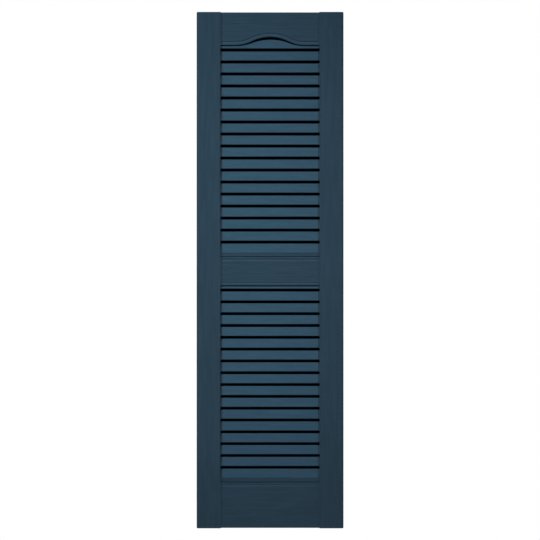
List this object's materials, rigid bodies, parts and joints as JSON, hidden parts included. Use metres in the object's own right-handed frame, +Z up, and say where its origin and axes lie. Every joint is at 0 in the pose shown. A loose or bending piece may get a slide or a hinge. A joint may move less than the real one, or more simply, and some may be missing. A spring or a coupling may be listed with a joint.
{
  "type": "louvred shutter panel",
  "caption": "Tall narrow exterior shutter panel with fixed horizontal louvres in upper and lower openings, wide stiles, a plain middle rail and an arched top rail.",
  "frame": {"origin": "middle of the back plane, where the panel meets the wall", "axes": "+X to the right across the panel seen from its front, +Y out of the back towards the wall, +Z up the panel; the louvres face -Y"},
  "size_m": [0.3682, 0.0286, 1.2954],
  "materials": {
    "slate_blue_copolymer": "satin, finely embossed"
  },
  "bodies": {
    "root": {"shutter_panel": "slate_blue_copolymer"}
  },
  "joints": []
}
